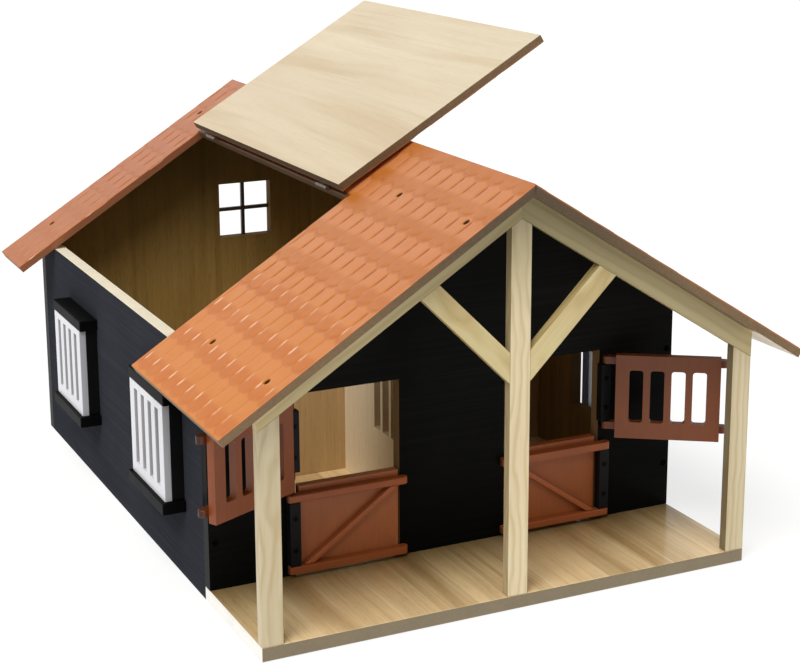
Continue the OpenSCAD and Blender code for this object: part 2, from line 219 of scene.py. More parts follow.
def printed_wood(g, along, across, depth, light, dark, seed, strip=0.026, pores=0.5, vary=0.5, pos=None):
    """A wood print on a flat board: side by side strips with a straight fine grain. Returns (colour, height)."""
    pos = g.pos if pos is None else pos
    L, U, V = g.dot(pos, along), g.dot(pos, across), g.dot(pos, depth)
    cell = g.math("FLOOR", g.math("DIVIDE", g.add(U, seed * 0.0113 + 1.0), strip))
    own = g.cell(cell)
    Ls = g.madd(own, 0.83, L)
    figure = g.noise(g.vec(g.madd(Ls, 5.0, seed), g.mul(U, 150.0), g.mul(V, 20.0)), 1.0, 4.0, 0.62, 0.4)
    fine = g.noise(g.vec(g.madd(Ls, 22.0, seed), g.mul(U, 900.0), g.mul(V, 60.0)), 1.0, 3.0, 0.6)
    dash = g.noise(g.vec(g.madd(Ls, 95.0, seed), g.mul(U, 1900.0), g.mul(V, 90.0)), 1.0, 1.0, 0.5)
    dash = g.remap(dash, 0.58, 0.72)
    broad = g.noise(g.vec(g.madd(L, 3.0, seed * 2.0), g.mul(U, 28.0), g.mul(V, 20.0)), 1.0, 2.0, 0.5)
    tone = g.madd(own, vary * 0.55, g.madd(figure, 0.75, g.madd(fine, 0.35, g.madd(broad, 0.45, -0.62 - vary * 0.25))))
    mid = tuple((a + b) / 2 for a, b in zip(light, dark))
    colour = g.ramp(tone, [(0.0, light), (0.5, mid), (1.0, dark)])
    deep = tuple(c * 0.62 for c in dark[:3]) + (1.0,)
    colour = g.mix(g.mul(dash, pores), colour, deep)
    height = g.madd(fine, -0.5, g.mul(dash, -0.5))
    return colour, height


def board_edge(g, base, across=Z, seed=0.0):
    """The raw sawn edge of a fibre board."""
    a = g.noise(g.pos, 900.0, 3.0, 0.65)
    b = g.noise(g.pos, 60.0, 2.0, 0.5)
    d = g.dot(g.pos, across)
    lines = g.noise(g.vec(g.mul(d, 1400.0), g.madd(b, 0.6, seed), 0.0), 1.0, 2.0, 0.6)
    tone = g.madd(a, 0.55, g.madd(b, 0.3, g.madd(lines, 0.35, -0.1)))
    light = tuple(min(1.0, c * 1.22) for c in base[:3]) + (1.0,)
    dark = tuple(c * 0.7 for c in base[:3]) + (1.0,)
    return g.ramp(tone, [(0.15, dark), (0.5, base), (0.95, light)]), g.madd(a, 0.7, g.mul(lines, 0.3))


def facing(g, d, lo=0.45, hi=0.75):
    return g.remap(g.dot(g.nrm, d), lo, hi)


# ---- the materials --------------------------------------------------------
def pine(name, along, across, seed, centre=(0.03, 0.02), light=rgb(220, 206, 172), dark=rgb(184, 158, 110), side=1.0, ridge_shade=1.0, **kw):
    g = Graph(name)
    colour, height = solid_wood(g, along, across, Y, light, dark, seed, centre=centre, **kw)
    if side < 1.0:
        # painted shade: the narrow sawn sides are darkened
        narrow_shade = g.remap(g.math("ABSOLUTE", g.dot(g.nrm, Y)), 0.75, 0.45)
        colour = g.mix(narrow_shade, colour, g.mix(1.0, colour, (side, side * 0.98, side * 0.9, 1.0), "MULTIPLY"))
    if ridge_shade < 1.0:
        # painted shade under the roof overhang: darkened towards the ridge
        height_shading = g.remap(g.dot(g.pos, Z), 0.175, 0.262, 1.0, ridge_shade)
        height_shading_blue = g.remap(g.dot(g.pos, Z), 0.175, 0.262, 1.0, ridge_shade * 0.9)
        colour = g.mix(1.0, colour, g.vec(height_shading, height_shading, height_shading_blue), "MULTIPLY")
    rough = g.madd(height, -0.12, 0.42)
    return g.done(colour, rough, g.bump(height, 0.35, 0.00012), coat=0.12, coat_rough=0.35)


def painted(name, colour, rough=0.32, grain=X, coat=0.25, lift=1.35, coat_rough=0.18, spec=0.5, edge=None):
    """Satin paint over wood, with faint brush lines along the grain and a little unevenness."""
    g = Graph(name)
    others = [a for a in (X, Y, Z) if a != grain]
    L = g.dot(g.pos, grain)
    lines = g.noise(g.vec(g.mul(L, 18.0), g.mul(g.dot(g.pos, others[0]), 700.0), g.mul(g.dot(g.pos, others[1]), 700.0)), 1.0, 3.0, 0.6)
    cloud = g.noise(g.pos, 22.0, 3.0, 0.55)
    peel = g.noise(g.pos, 1300.0, 2.0, 0.5)
    light = tuple(min(1.0, c * lift + 0.002) for c in colour[:3]) + (1.0,)
    dark = tuple(c * 0.86 for c in colour[:3]) + (1.0,)
    tone = g.madd(lines, 0.6, g.madd(cloud, 0.7, -0.15))
    col = g.ramp(tone, [(0.1, dark), (0.5, colour), (0.95, light)])
    if edge is not None:
        # painted shade: the sawn edges and other faces along Y take a greyer colour than the broad faces
        side = g.remap(g.math("ABSOLUTE", g.dot(g.nrm, Y)), 0.45, 0.8)
        col = g.mix(side, col, g.mix(lines, edge, tuple(c * 0.8 for c in edge[:3]) + (1.0,)))
    height = g.madd(lines, 0.6, g.mul(peel, 0.4))
    return g.done(col, g.madd(cloud, 0.14, rough - 0.07), g.bump(height, 0.3, 0.00006), coat=coat, coat_rough=coat_rough, spec=spec)


def wall(name, outward, paint, paint_grain, reveal_box, top_pale=True, reveal_tone=rgb(122, 96, 64), grain_seed=1.0, inner=(rgb(142, 112, 68), rgb(92, 68, 36)), lift=None):
    """A wall board: paint outside, wood print with upright grain inside, sawn edges in the openings."""
    g = Graph(name)
    across = X if abs(outward[1]) else Y
    depth = Y if abs(outward[1]) else X
    out = facing(g, outward)
    ins = facing(g, tuple(-c for c in outward))
    up = facing(g, Z)
    wood, wood_h = printed_wood(g, Z, across, depth, inner[0], inner[1], grain_seed, strip=0.031, pores=0.35, vary=0.45)
    edge, edge_h = board_edge(g, reveal_tone, depth)
    if lift:
        # painted light and shade: the print is paler low down and dark towards the ridge
        height_shading = g.remap(g.dot(g.pos, Z), lift[0], lift[1], lift[2], lift[3])
        wood = g.mix(1.0, wood, g.vec(height_shading, height_shading, height_shading), "MULTIPLY")
    # paint
    others = [a for a in (X, Y, Z) if a != paint_grain]
    L = g.dot(g.pos, paint_grain)
    lines = g.noise(g.vec(g.mul(L, 9.0), g.mul(g.dot(g.pos, others[0]), 420.0), g.mul(g.dot(g.pos, others[1]), 420.0)), 1.0, 3.0, 0.6)
    cloud = g.noise(g.pos, 14.0, 3.0, 0.55)
    peel = g.noise(g.pos, 1200.0, 2.0, 0.5)
    tone = g.madd(lines, 0.9, g.madd(cloud, 0.6, -0.25))
    more = 1.9 if abs(outward[1]) else 1.35
    light = tuple(c * more + 0.001 for c in paint[:3]) + (1.0,)
    dark = tuple(c * (0.65 if abs(outward[1]) else 0.8) for c in paint[:3]) + (1.0,)
    pcol = g.ramp(tone, [(0.1, dark), (0.5, paint), (0.95, light)])
    # painted shade: the paint darkens towards the bottom, and on the side walls towards the rear
    low = g.dot(g.pos, Z)
    shade_fade = g.remap(low, 0.0, 0.15, 0.6 if abs(outward[1]) else 0.14, 0.0)
    if not abs(outward[1]):
        shade_fade = g.math("MAXIMUM", shade_fade, g.remap(g.dot(g.pos, Y), 0.0, 0.24, 0.0, 0.1))
    pcol = g.mix(shade_fade, pcol, tuple(c * 0.2 for c in paint[:3]) + (1.0,))
    # where each shows: paint by default, wood on the inside, sawn edge in openings, pale sawn edge on top
    x, y, z = g.split(g.pos)
    lo, hi = reveal_box
    u = x if abs(outward[1]) else y
    inside = g.mul(g.math("GREATER_THAN", u, lo[0]), g.math("LESS_THAN", u, hi[0]))
    inside = g.mul(inside, g.mul(g.math("GREATER_THAN", z, lo[1]), g.math("LESS_THAN", z, hi[1])))
    flat = g.math("ADD", out, ins, clamp=True)
    reveal = g.mul(inside, g.math("SUBTRACT", 1.0, flat))
    col = g.mix(ins, pcol, wood)
    col = g.mix(reveal, col, edge)
    bare = g.math("MAXIMUM", ins, reveal)
    if top_pale:
        pale, _ = board_edge(g, rgb(236, 226, 202), depth, 3.0)
        top = g.mul(up, g.math("SUBTRACT", 1.0, inside))
        col = g.mix(top, col, pale)
        bare = g.math("MAXIMUM", bare, top)
    painth = g.madd(lines, 0.6, g.mul(peel, 0.4))
    height = g.mix(bare, painth, g.madd(wood_h, 0.5, g.mul(edge_h, 0.5)))
    rough = g.math("ADD", g.madd(cloud, 0.12, 0.24), g.mul(bare, 0.3))
    return g.done(col, rough, g.bump(height, 0.3, 0.00006), spec=0.02 if abs(outward[1]) else 0.0)


def floor_mat():
    g = Graph("floor_print")
    wood, wood_h = printed_wood(g, Y, X, Z, rgb(250, 220, 168), rgb(176, 136, 82), 2.0, strip=0.0262, pores=0.2, vary=1.15)
    x, y, z = g.split(g.pos)
    # pale and brown streaks along the boards
    sway = g.noise(g.vec(g.mul(x, 12.0), g.mul(y, 9.0), 1.0), 1.0, 1.0, 0.5)
    bands = g.noise(g.vec(g.madd(sway, 0.8, g.mul(x, 62.0)), g.mul(y, 2.4), 5.0), 1.0, 2.0, 0.5)
    thin = g.noise(g.vec(g.madd(sway, 1.4, g.mul(x, 210.0)), g.mul(y, 3.5), 8.0), 1.0, 2.0, 0.55)
    fine = g.noise(g.vec(g.madd(sway, 3.0, g.mul(x, 480.0)), g.mul(y, 7.0), 2.0), 1.0, 2.0, 0.6)
    wood = g.mix(g.remap(bands, 0.5, 0.72, 0.0, 0.42), wood, rgb(158, 120, 68))
    wood = g.mix(g.remap(thin, 0.56, 0.72, 0.0, 0.62), wood, rgb(255, 236, 196))
    wood = g.mix(g.remap(thin, 0.44, 0.26, 0.0, 0.4), wood, rgb(168, 130, 76))
    wood = g.mix(g.remap(fine, 0.52, 0.78, 0.0, 0.3), wood, rgb(152, 116, 66))
    # painted shade: pale at the front, dark and warm along the front wall
    porch_in = g.remap(y, (0.0 - MID) * MM, (90.5 - MID) * MM, 0.0, 1.0, "LINEAR")
    tone = g.ramp(porch_in, [(0.0, (1.0, 1.0, 1.0, 1.0)), (0.45, (0.8, 0.79, 0.76, 1.0)), (0.85, (0.44, 0.41, 0.34, 1.0)), (1.0, (0.3, 0.27, 0.2, 1.0))])
    wood = g.mix(g.math("LESS_THAN", y, (95.0 - MID) * MM), wood, g.mix(1.0, wood, tone, "MULTIPLY"))
    edge, edge_h = board_edge(g, rgb(122, 106, 76), Z)
    # painted light: the porch's left end face is near white
    pale, _ = board_edge(g, rgb(250, 247, 238), Z, 2.0)
    top = facing(g, Z)
    left = facing(g, (-1, 0, 0))
    porch = g.math("LESS_THAN", y, (99.5 - MID) * MM)
    col = g.mix(top, edge, wood)
    col = g.mix(g.mul(left, porch), col, pale)
    height = g.mix(top, edge_h, wood_h)
    rough = g.madd(top, -0.25, g.madd(height, 0.1, 0.6))
    return g.done(col, rough, g.bump(height, 0.2, 0.00005), coat=0.85, coat_rough=0.1)


def inner_wall(name, across, depth, light, dark, seed, slot=None):
    g = Graph(name)
    wood, wood_h = printed_wood(g, Z, across, depth, light, dark, seed, strip=0.034, pores=0.25, vary=0.35)
    edge, edge_h = board_edge(g, rgb(196, 172, 130), depth)
    flat = g.math("ABSOLUTE", g.dot(g.nrm, depth))
    face = g.remap(flat, 0.45, 0.75)
    col = g.mix(face, edge, wood)
    height = g.mix(face, edge_h, wood_h)
    return g.done(col, g.madd(height, 0.1, 0.48), g.bump(height, 0.25, 0.00008), coat=0.08)


def door_mat(name, seed, grain=X, base=rgb(148, 78, 36), end=None):
    """Red-brown stain: a warm ground with soft darker drifts and a fine grain."""
    g = Graph(name)
    others = [a for a in (X, Y, Z) if a != grain]
    L = g.dot(g.pos, grain)
    fine = g.noise(g.vec(g.madd(L, 30.0, seed), g.mul(g.dot(g.pos, others[0]), 900.0), g.mul(g.dot(g.pos, others[1]), 900.0)), 1.0, 3.0, 0.6)
    drift = g.noise(g.pos, 26.0, 3.0, 0.55)
    peel = g.noise(g.pos, 1100.0, 2.0, 0.5)
    light = tuple(min(1.0, c * 1.28) for c in base[:3]) + (1.0,)
    dark = tuple(c * 0.74 for c in base[:3]) + (1.0,)
    col = g.ramp(g.madd(fine, 0.5, g.madd(drift, 0.8, -0.16)), [(0.1, dark), (0.5, base), (0.95, light)])
    if end:
        # end faces darkened: partly end grain taking more stain, partly painted shade
        cut = g.remap(g.math("ABSOLUTE", g.dot(g.nrm, end)), 0.55, 0.85, 0.0, 0.85)
        col = g.mix(cut, col, tuple(c * 0.3 for c in base[:3]) + (1.0,))
    height = g.madd(fine, 0.5, g.mul(peel, 0.5))
    return g.done(col, g.madd(drift, 0.12, 0.34), g.bump(height, 0.3, 0.00007), coat=0.12, coat_rough=0.22, spec=0.3)


def steel_mat(name, base=rgb(158, 148, 134), rough=0.36):
    g = Graph(name)
    brushed = g.noise(g.vec(g.mul(g.dot(g.pos, X), 3000.0), g.mul(g.dot(g.pos, Y), 90.0), g.mul(g.dot(g.pos, Z), 3000.0)), 1.0, 3.0, 0.6)
    spot = g.noise(g.pos, 500.0, 3.0, 0.6)
    col = g.mix(g.remap(spot, 0.35, 0.75, 0.0, 0.5), base, rgb(120, 106, 88))
    return g.done(col, g.madd(brushed, 0.22, rough - 0.08), g.bump(brushed, 0.2, 0.00003), metal=1.0)


def screw_mat(name):
    g = Graph(name)
    spot = g.noise(g.pos, 700.0, 3.0, 0.6)
    col = g.mix(spot, rgb(26, 22, 20), rgb(62, 52, 44))
    return g.done(col, g.madd(spot, 0.25, 0.28), g.bump(spot, 0.3, 0.00005), metal=0.75)


def tile_mat():
    """Orange stained board with pressed tiles. Reads the closed-roof place (down slope, along, out) and the
    place in the tile (part of the row, distance from the groove in mm, flag for the painted shade beside the hatch
    hinges) stored on the mesh."""
    g = Graph("tile_orange")
    s, y, h = g.split(g.attribute("roof"))
    t, dg, hinge = g.split(g.attribute("tile"))
    cloud = g.noise(g.vec(g.mul(s, 16.0), g.mul(y, 16.0), 0.0), 1.0, 4.0, 0.6)
    patch = g.noise(g.vec(g.mul(s, 55.0), g.mul(y, 55.0), 4.0), 1.0, 3.0, 0.55)
    blot = g.noise(g.vec(g.mul(s, 130.0), g.mul(y, 130.0), 9.0), 1.0, 2.0, 0.5)
    grit = g.noise(g.vec(g.mul(s, 1100.0), g.mul(y, 1100.0), 0.0), 1.0, 3.0, 0.6)
    brush = g.noise(g.vec(g.mul(s, 40.0), g.mul(y, 600.0), 2.0), 1.0, 3.0, 0.6)
    down = g.remap(s, 0.05, 0.235)
    pink = g.mix(down, rgb(204, 128, 74), rgb(211, 127, 46))
    warm = g.mix(down, rgb(188, 109, 42), rgb(199, 108, 22))
    # painted reflection: the upper part of each tile is paler and pinker, the lower part deeper orange
    upper = g.mul(g.remap(t, 0.03, 0.12), g.remap(t, 0.5, 0.72, 1.0, 0.0))
    tone = g.madd(upper, 0.6, g.madd(cloud, -0.9, g.madd(patch, -0.9, g.madd(brush, -0.25, 1.25))))
    col = g.mix(g.remap(tone, 0.05, 0.95), warm, pink)
    col = g.mix(g.remap(blot, 0.56, 0.8, 0.0, 0.3), col, rgb(188, 110, 50))
    # painted shade in the grooves: dark near the ridge, fading towards the eave
    groove_shade = g.mul(g.remap(dg, 0.35, 1.9, 1.0, 0.0), g.mul(g.remap(t, 0.06, 0.14), g.remap(t, 0.44, 0.6, 1.0, 0.0)))
    shade_fade = g.remap(s, 0.115, 0.175, 0.78, 0.08)
    col = g.mix(g.mul(g.mul(groove_shade, shade_fade), g.remap(blot, 0.2, 0.6, 0.4, 1.0)), col, rgb(158, 86, 44))
    # painted shade along the rounded lower edges of the tiles
    scallop_shade = g.math("MAXIMUM", g.remap(t, 0.0, 0.06, 1.0, 0.0), g.remap(t, 0.93, 1.0))
    scallop_shade = g.mul(scallop_shade, g.remap(blot, 0.38, 0.62, 0.0, 0.5))
    col = g.mix(g.mul(scallop_shade, g.remap(s, 0.13, 0.2, 1.0, 0.25)), col, rgb(166, 96, 44))
    # painted highlights: pale ends of the grooves low on the slope
    end = g.mul(g.remap(t, 0.54, 0.68), g.remap(t, 0.8, 0.93, 1.0, 0.0))
    end = g.mul(end, g.mul(g.remap(dg, 0.35, 1.6, 1.0, 0.0), g.remap(s, 0.1, 0.17)))
    col = g.mix(g.mul(end, g.remap(patch, 0.34, 0.58, 0.2, 0.85)), col, rgb(246, 202, 166))
    col = g.mix(g.remap(grit, 0.6, 0.8, 0.0, 0.22), col, rgb(232, 172, 122))
    # behind the hatch the stain is redder
    rearward = g.remap(y, 0.4365, 0.44)
    col = g.mix(g.mul(rearward, 0.75), col, g.mix(grit, rgb(150, 84, 46), rgb(196, 120, 78)))
    # painted shade: the board is darkened beside the hatch hinges, under the flap's edge
    col = g.mix(g.mul(hinge, 0.9), col, rgb(66, 42, 26))
    height = g.madd(grit, 0.6, g.mul(brush, 0.4))
    rough = g.madd(patch, 0.16, 0.34)
    return g.done(col, rough, g.bump(height, 0.3, 0.00008), coat=0.08, coat_rough=0.28, spec=0.35)


def roof_edge_mat():
    g = Graph("roof_edge")
    place = g.attribute("roof")
    s, y, h = g.split(place)
    a = g.noise(g.pos, 900.0, 3.0, 0.65)
    lines = g.noise(g.vec(g.mul(h, 1500.0), g.mul(g.add(s, y), 30.0), 0.0), 1.0, 2.0, 0.6)
    tone = g.madd(a, 0.6, g.madd(lines, 0.4, 0.0))
    col = g.ramp(tone, [(0.2, rgb(84, 64, 42)), (0.5, rgb(118, 93, 62)), (0.9, rgb(146, 120, 84))])
    deep = g.remap(s, 0.02, 0.17, 0.5, 1.0)
    col = g.mix(1.0, col, g.vec(deep, deep, deep), "MULTIPLY")
    # behind the hatch the cut edges are stained as well
    col = g.mix(g.remap(y, 0.4368, 0.4378, 0.0, 0.75), col, g.mix(lines, rgb(128, 70, 40), rgb(172, 98, 60)))
    # the stain runs a little way over the upper arris
    over = g.remap(h, -0.0016, -0.0003)
    col = g.mix(g.mul(over, 0.75), col, rgb(176, 104, 62))
    height = g.madd(a, 0.7, g.mul(lines, 0.3))
    return g.done(col, 0.62, g.bump(height, 0.35, 0.0001))


def roof_lining_mat():
    g = Graph("roof_lining")
    place = g.attribute("roof")
    s, y, h = g.split(place)
    wood, height = printed_wood(g, Y, X, Z, rgb(224, 208, 176), rgb(200, 178, 140), 5.0, strip=0.09, pores=0.12, vary=0.25, pos=place)
    # long soft brown drifts along the house
    wave = g.noise(g.vec(g.mul(s, 9.0), g.mul(y, 5.0), 3.0), 1.0, 1.0, 0.4)
    drift = g.noise(g.vec(g.madd(wave, 1.1, g.mul(s, 44.0)), g.mul(y, 3.2), 7.0), 1.0, 2.0, 0.5)
    hair = g.noise(g.vec(g.madd(wave, 4.0, g.mul(s, 330.0)), g.mul(y, 7.0), 1.0), 1.0, 3.0, 0.6)
    grain = g.noise(g.vec(g.mul(s, 1500.0), g.mul(y, 60.0), 4.0), 1.0, 2.0, 0.6)
    wood = g.mix(g.remap(drift, 0.42, 0.72, 0.0, 0.52), wood, rgb(194, 165, 118))
    wood = g.mix(g.mul(g.remap(hair, 0.48, 0.74, 0.0, 0.3), g.remap(drift, 0.35, 0.6, 0.5, 1.0)), wood, rgb(180, 150, 104))
    wood = g.mix(g.remap(grain, 0.5, 0.8, 0.0, 0.3), wood, rgb(186, 158, 114))
    # a little browner towards the hinges
    wood = g.mix(g.remap(s, 0.085, 0.19, 0.22, 0.0), wood, rgb(190, 158, 112))
    # painted shade: in front of the rafters the lining is darkened
    front = g.mul(g.remap(y, -0.0005, 0.0002, 1.0, 0.0), g.remap(s, 0.196, 0.205, 0.9, 0.0))
    wood = g.mix(front, wood, rgb(70, 50, 30))
    return g.done(wood, g.madd(height, 0.1, 0.42), g.bump(height, 0.25, 0.00006), coat=0.12, coat_rough=0.3)


# ---- roof boards with pressed tiles -----------------------------------------
PITCH_Y, PITCH_S = 15.7, 28.0
STEP, GROOVE = 0.22, 0.6
ROW0 = 11.0 - PITCH_S           # upper edge of the part row at the ridge


def phase(k):
    """Where the grooves of row k lie. Row -1 is the part row at the ridge, row 0 starts 11 mm down."""
    return 6.5 if k % 2 == 0 else -1.5


def to_groove(y, k):
    """Distance along the house to the nearest groove of row k, in mm."""
    u = np.mod((y - phase(k)) / PITCH_Y, 1.0)
    return np.minimum(u, 1.0 - u) * PITCH_Y


def tile_edge(y, k):
    """Down-slope place of the upper end of row k, which is the scalloped lower edge of row k - 1."""
    d = to_groove(y, k - 1) / (PITCH_Y / 2)
    return 11.0 + PITCH_S * k - 3.2 * (1.0 - d) ** 2


def smooth(x, a, b):
    t = np.clip((x - a) / (b - a), 0.0, 1.0)
    return t * t * (3 - 2 * t)


def relief(s, y, k):
    """Depth of the pressed tiles below the board's face in row k, in mm (0 or less)."""
    top, end = tile_edge(y, k), tile_edge(y, k + 1)
    a = np.clip(s - top, 0.0, None)
    t = np.clip(a / (end - top), 0.0, 1.0)
    dg = to_groove(y, k)
    # the press bit deeper on the upper part of the slope
    press = 1.0 - 0.72 * smooth(s, 135.0, 185.0)
    step = STEP * press * (1.0 - t) ** 1.4
    along = smooth(a, 0.6, 3.0) * (1.0 - smooth(a, 13.5, 17.0))
    notch = smooth(a, 16.0, 18.5) * (1.0 - smooth(a, 23.5, 26.0))
    groove = GROOVE * press * along * np.exp(-((dg / 0.95) ** 2))
    groove = np.maximum(groove, 0.4 * notch * smooth(s, 105.0, 165.0) * np.exp(-((dg / 1.2) ** 2)))
    crown = 0.14 * press * (1.0 - 2.0 * dg / PITCH_Y) ** 4 * smooth(a, 1.0, 6.0) * (1.0 - smooth(a, 13.0, 21.0))
    lip = 0.08 * press * smooth(t, 0.95, 1.0)
    return -(0.05 + step * (1 - 0.35 * np.exp(-((dg / 0.9) ** 2))) + groove + crown + lip)


def spread(values, least):
    out = []
    for v in sorted(values):
        if not out or v - out[-1] >= least:
            out.append(v)
    return out


ARRIS = (0.0, 0.16, 0.4, 0.75)


def slope_grid(s_from, y_from, y_to, lines_s=(), lines_y=()):
    """Sample places: S[i, j], ROW[i], ys[j]. Rows follow the scalloped edges; lines_s and lines_y are met exactly."""
    ys = {y_from, y_to}
    for c in (y_from, y_to, *lines_y):
        for d in ARRIS[1:]:
            ys.update((c - d, c + d))
    for c in lines_y:
        ys.add(c)
    fixed = sorted(ys)
    for k in (0, 1):
        n0 = int((y_from - phase(k)) // PITCH_Y) - 1
        for n in range(n0, n0 + int((y_to - y_from) / PITCH_Y) + 4):
            g0 = phase(k) + n * PITCH_Y
            for d in (0.0, 0.4, 0.85, 1.5, 2.6):
                for v in (g0 - d, g0 + d):
                    if all(abs(v - f) > 0.14 for f in fixed):
                        ys.add(v)
    ys = [v for v in sorted(ys) if y_from - 1e-6 <= v <= y_to + 1e-6]
    keep = [ys[0]]
    for v in ys[1:]:
        if v - keep[-1] < 0.13:
            if v in fixed and keep[-1] not in fixed:
                keep[-1] = v
            continue
        keep.append(v)
    if keep[-1] != y_to:
        keep[-1] = y_to
    ys = np.array(keep)
    offs = [0.28, 1.0, 2.2, 4.0, 6.5, 9.5, 12.5, 15.5, 18.2, 19.8, 21.2, 22.6, 24.2, 25.8, 27.0, 27.75]
    S, ROW = [np.full(len(ys), float(s_from))], [None]
    k = -1
    while tile_edge(ys, k + 1).min() <= s_from + 1e-6:
        k += 1
    ROW[0] = k
    stops = sorted(list(lines_s)) + [SLOPE]
    while True:
        nxt = tile_edge(ys, k + 1)
        stop = next((v for v in stops if v > S[-1].max() + 1e-6), SLOPE)
        start, start_is_edge = S[-1], len(S) > 1 and ROW[-1] != k
        top = tile_edge(ys, k)
        target = nxt if nxt.max() < stop - 0.8 else np.full(len(ys), stop)
        is_stop = target is not nxt
        length = target - start
        fr = []
        for o in offs:
            place = top + o
            f = (place - start) / length
            if f.min() > 0.0 and f.max() < 1.0:
                fr.append(o)
        rows = [np.maximum(np.minimum(top + o * (nxt - top) / PITCH_S, target - 0.05), start + 0.05) for o in fr]
        extra = []
        if is_stop:
            extra += [target - d for d in ARRIS[:0:-1]]
        if not start_is_edge:
            extra += [start + d for d in ARRIS[1:]]
        rows = [r for r in rows if all(np.abs(r - e).min() > 0.12 for e in extra)]
        rows = sorted(rows + extra, key=lambda r: r.mean())
        clean = []
        for r in rows:
            r = np.maximum(r, (clean[-1] if clean else start) + 0.04)
            clean.append(r)
        for r in clean:
            S.append(np.minimum(r, target - 0.02))
            ROW.append(k)
        S.append(target.copy())
        ROW.append(k)
        if is_stop and stop >= SLOPE:
            break
        if not is_stop:
            k += 1
            # the foot of the step, just past the edge
            S.append(target + 0.28)
            ROW.append(k)
    return np.array(S), ROW, ys


def roof_piece(name, side, s_from, y_from, y_to, bay=None, opened=False, screws=()):
    S, ROW, ys = slope_grid(s_from, y_from, y_to, (bay[0],) if bay else (), bay[1:] if bay else ())
    ns, ny = S.shape
    Yg = np.broadcast_to(ys, S.shape)
    H = np.stack([relief(S[i], ys, ROW[i]) for i in range(ns)])

    def rounding(s, y):
        d = np.minimum(np.minimum(y - y_from, y_to - y), SLOPE - s)
        if s_from > 1.0:
            d = np.minimum(d, s - s_from)
        if bay:
            db = np.maximum(np.maximum(bay[0] - s, bay[1] - y), y - bay[2])
            d = np.minimum(d, np.where(db >= 0, db, 0.0))
        d = np.clip(d, 0.0, 0.75)
        return -0.42 * (1.0 - d / 0.75) ** 2

    H = H + rounding(S, Yg)
    T = np.stack([np.clip((S[i] - tile_edge(ys, ROW[i])) / (tile_edge(ys, ROW[i] + 1) - tile_edge(ys, ROW[i])), 0.0, 1.0) for i in range(ns)])
    D = np.stack([to_groove(ys, ROW[i]) for i in range(ns)])
    bm = bmesh.new()
    lay = bm.verts.layers.float_vector.new("roof")
    tile = bm.verts.layers.float_vector.new("tile")

    def place(s, y, h):
        if opened:
            ds, dh = s - 61.2, h - 1.8
            s, h = 61.2 + ds * math.cos(OPEN) - dh * math.sin(OPEN), 1.8 + ds * math.sin(OPEN) + dh * math.cos(OPEN)
        return Vector((side * (s * CA + h * SA) * MM, (y - MID) * MM, (RIDGE - s * SA + h * CA) * MM))

    def vert(s, y, h, t=0.5, d=5.0):
        v = bm.verts.new(place(s, y, h))
        v[lay] = Vector((s, y, h)) * MM
        # painted shade: the strip beside the hatch hinges, under the flap's edge, is flagged for darkening
        flap_shade_zone = bay and bay[0] - 2.8 < s < bay[0] + 0.5 and bay[1] - 1.0 < y < bay[2] + 1.0
        v[tile] = Vector((t, d, 1.0 if flap_shade_zone else 0.0))
        return v

    grid, used = {}, np.zeros((ns - 1, ny - 1), bool)
    for i in range(ns - 1):
        for j in range(ny - 1):
            sc, yc = (S[i, j] + S[i + 1, j + 1]) / 2, (ys[j] + ys[j + 1]) / 2
            if bay and sc > bay[0] - 1e-6 and bay[1] < yc < bay[2]:
                continue
            used[i, j] = True
    # leave out the cells round each screw
    holes = []
    for cs, cy in screws:
        near = (S - cs) ** 2 + (Yg - cy) ** 2 < 3.3 ** 2
        cells = np.argwhere(near[:-1, :-1] | near[1:, :-1] | near[:-1, 1:] | near[1:, 1:])
        mine = {tuple(c) for c in cells if used[tuple(c)]}
        for c in mine:
            used[c] = False
        holes.append((cs, cy, mine))

    def at(i, j):
        if (i, j) not in grid:
            grid[i, j] = vert(S[i, j], ys[j], H[i, j], T[i, j], D[i, j])
        return grid[i, j]

    top = []
    for i, j in np.argwhere(used):
        top.append(bm.faces.new((at(i, j), at(i + 1, j), at(i + 1, j + 1), at(i, j + 1))))
    for f in top:
        f.smooth = True
    inner = set()
    for cs, cy, mine in holes:
        rim = []
        for i, j in mine:
            for a, b, n in (((i, j), (i + 1, j), (i, j - 1)), ((i + 1, j), (i + 1, j + 1), (i + 1, j)),
                            ((i + 1, j + 1), (i, j + 1), (i, j + 1)), ((i, j + 1), (i, j), (i - 1, j))):
                if n not in mine:
                    rim += [a, b]
        rim = sorted(set(rim), key=lambda c: math.atan2(ys[c[1]] - cy, S[c] - cs))
        outer = [(math.atan2(ys[c[1]] - cy, S[c] - cs), at(*c)) for c in rim]
        inner.update(v for _, v in outer)
        k = ROW[min(range(ns), key=lambda i: abs(S[i].mean() - cs))]
        face = relief(np.array([cs]), np.array([cy]), k)[0]
        n = 40
        loops = []
        for radius, h in ((2.75, face), (2.42, face - 0.16), (2.35, face - 0.42), (2.35, -2.2)):
            ring = []
            for q in range(n):
                a = -math.pi + 2 * math.pi * (q + 0.5) / n
                s, y = cs + radius * math.cos(a), cy + radius * math.sin(a)
                ring.append((a, vert(s, y, h)))
            loops.append(ring)
        # join the cut cells to the first ring, by angle
        A, B = outer, loops[0]
        ia = ib = 0
        while ia < len(A) or ib < len(B):
            a0, b0 = A[ia % len(A)], B[ib % len(B)]
            a1, b1 = A[(ia + 1) % len(A)], B[(ib + 1) % len(B)]
            na = A[ia + 1][0] if ia + 1 < len(A) else A[0][0] + 2 * math.pi
            nb = B[ib + 1][0] if ib + 1 < len(B) else B[0][0] + 2 * math.pi
            if ib >= len(B) or (ia < len(A) and na <= nb):
                f = bm.faces.new((a0[1], a1[1], b0[1]))
                ia += 1
            else:
                f = bm.faces.new((b0[1], a0[1], b1[1]))
                ib += 1
            f.smooth = True
        for lo, hi in zip(loops[1:], loops[:-1]):
            for q in range(n):
                f = bm.faces.new((hi[q][1], hi[(q + 1) % n][1], lo[(q + 1) % n][1], lo[q][1]))
                f.smooth = True
        bm.faces.new([v for _, v in loops[-1]])
